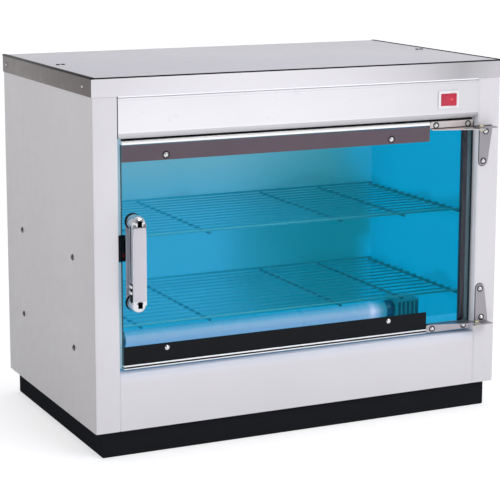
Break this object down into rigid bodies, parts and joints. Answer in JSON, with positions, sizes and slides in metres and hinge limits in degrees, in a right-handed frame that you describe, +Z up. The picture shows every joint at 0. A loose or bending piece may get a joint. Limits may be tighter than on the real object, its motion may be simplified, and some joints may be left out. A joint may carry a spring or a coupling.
{
  "type": "dish sterilizer cabinet",
  "caption": "Countertop dish sterilizer cabinet: painted steel body on a plinth, hinged glass door with a pull handle, wire shelves over a lamp, and a rocker switch in the header.",
  "frame": {"origin": "middle of the plinth's underside, where the cabinet stands", "axes": "+Z up, the door and front face -Y, +X to the right of someone who faces the front"},
  "size_m": [0.6018, 0.3825, 0.49],
  "materials": {
    "white_paint": "satin off-white enamel on steel sheet",
    "black_paint": "semi-matt black paint",
    "stainless": "satin stainless sheet",
    "galvanised": "dull zinc coating",
    "liner": "light satin paint that takes the lamp's blue",
    "zinc_steel": "bright zinc plate",
    "brushed_steel": "brushed along its length",
    "chrome": "bright plate",
    "brass": "plain turned brass",
    "shelf_wire": "bright plated wire",
    "glass": "clear float glass, blue at its edges",
    "dark_strip": "dark laminated strip",
    "black_rubber": "matt black",
    "black_plastic": "matt black",
    "white_plastic": "smooth white",
    "red_plastic": "translucent red, lit when on",
    "lamp_glass": "clear quartz-like tube with metal caps",
    "holder_plastic": "smooth pale moulding"
  },
  "bodies": {
    "cabinet": {"plinth_base": "black_paint", "base_pan": "galvanised", "left_side_panel": "white_paint", "right_side_panel": "white_paint", "back_panel": "white_paint", "floor_pan": "liner", "bottom_rail": "white_paint", "header_panel": "white_paint", "inner_ceiling": "liner", "top_cap": "stainless", "jamb_seal": "black_rubber", "upper_rail_left": "zinc_steel", "upper_rail_right": "zinc_steel", "lower_rail_left": "zinc_steel", "lower_rail_right": "zinc_steel", "lamp_holder_left": "holder_plastic", "lamp_holder_right": "holder_plastic", "ballast": "zinc_steel", "starter": "holder_plastic", "switch_bezel": "white_plastic", "magnet_catch": "black_plastic", "cord_gland": "black_rubber", "top_hinge_bracket": "brushed_steel", "bottom_hinge_bracket": "brushed_steel", "top_pivot_pin": "brass", "bottom_pivot_pin": "brass", "rail_screw_left_upper_front": "zinc_steel", "rail_screw_left_upper_back": "zinc_steel", "rail_screw_left_lower_front": "zinc_steel", "rail_screw_left_lower_back": "zinc_steel", "rail_screw_right_upper_front": "zinc_steel", "rail_screw_right_upper_back": "zinc_steel", "rail_screw_right_lower_front": "zinc_steel", "rail_screw_right_lower_back": "zinc_steel", "top_hinge_bracket_screw_1": "zinc_steel", "top_hinge_bracket_screw_2": "zinc_steel", "bottom_hinge_bracket_screw_1": "zinc_steel", "bottom_hinge_bracket_screw_2": "zinc_steel"},
    "door": {"door_glass": "glass", "door_top_channel": "chrome", "door_bottom_channel": "chrome", "door_top_strip": "dark_strip", "door_bottom_strip": "dark_strip", "top_hinge_leaf": "brushed_steel", "bottom_hinge_leaf": "brushed_steel", "handle_bow": "chrome", "handle_grip": "white_plastic", "catch_strike": "black_plastic", "top_hinge_leaf_screw_1": "zinc_steel", "top_strip_screw_1": "zinc_steel", "top_hinge_leaf_screw_2": "zinc_steel", "top_strip_screw_2": "zinc_steel", "bottom_hinge_leaf_screw_1": "zinc_steel", "bottom_strip_screw_1": "zinc_steel", "bottom_hinge_leaf_screw_2": "zinc_steel", "bottom_strip_screw_2": "zinc_steel"},
    "upper_shelf": {"upper_shelf": "shelf_wire"},
    "lower_shelf": {"lower_shelf": "shelf_wire"},
    "lamp": {"uv_lamp": "lamp_glass"},
    "rocker": {"switch_rocker": "red_plastic"}
  },
  "joints": [
    {"name": "door_hinge", "type": "hinge", "parent": "cabinet", "child": "door", "pos_m": [0.2634, -0.1855, 0.261], "axis": [0, 0, 1], "range_deg": [0, 170]},
    {"name": "upper_shelf_slide", "type": "slide", "parent": "cabinet", "child": "upper_shelf", "axis": [0, -1, 0], "range_m": [0, 0.05]},
    {"name": "lower_shelf_slide", "type": "slide", "parent": "cabinet", "child": "lower_shelf", "axis": [0, -1, 0], "range_m": [0, 0.05]},
    {"name": "lamp_twist", "type": "hinge", "parent": "cabinet", "child": "lamp", "pos_m": [0, -0.0277, 0.115], "axis": [1, 0, 0], "range_deg": [0, 90]},
    {"name": "switch_rock", "type": "hinge", "parent": "cabinet", "child": "rocker", "pos_m": [0.2154, -0.1749, 0.43875], "axis": [0, 0, 1], "range_deg": [0, 14]}
  ]
}
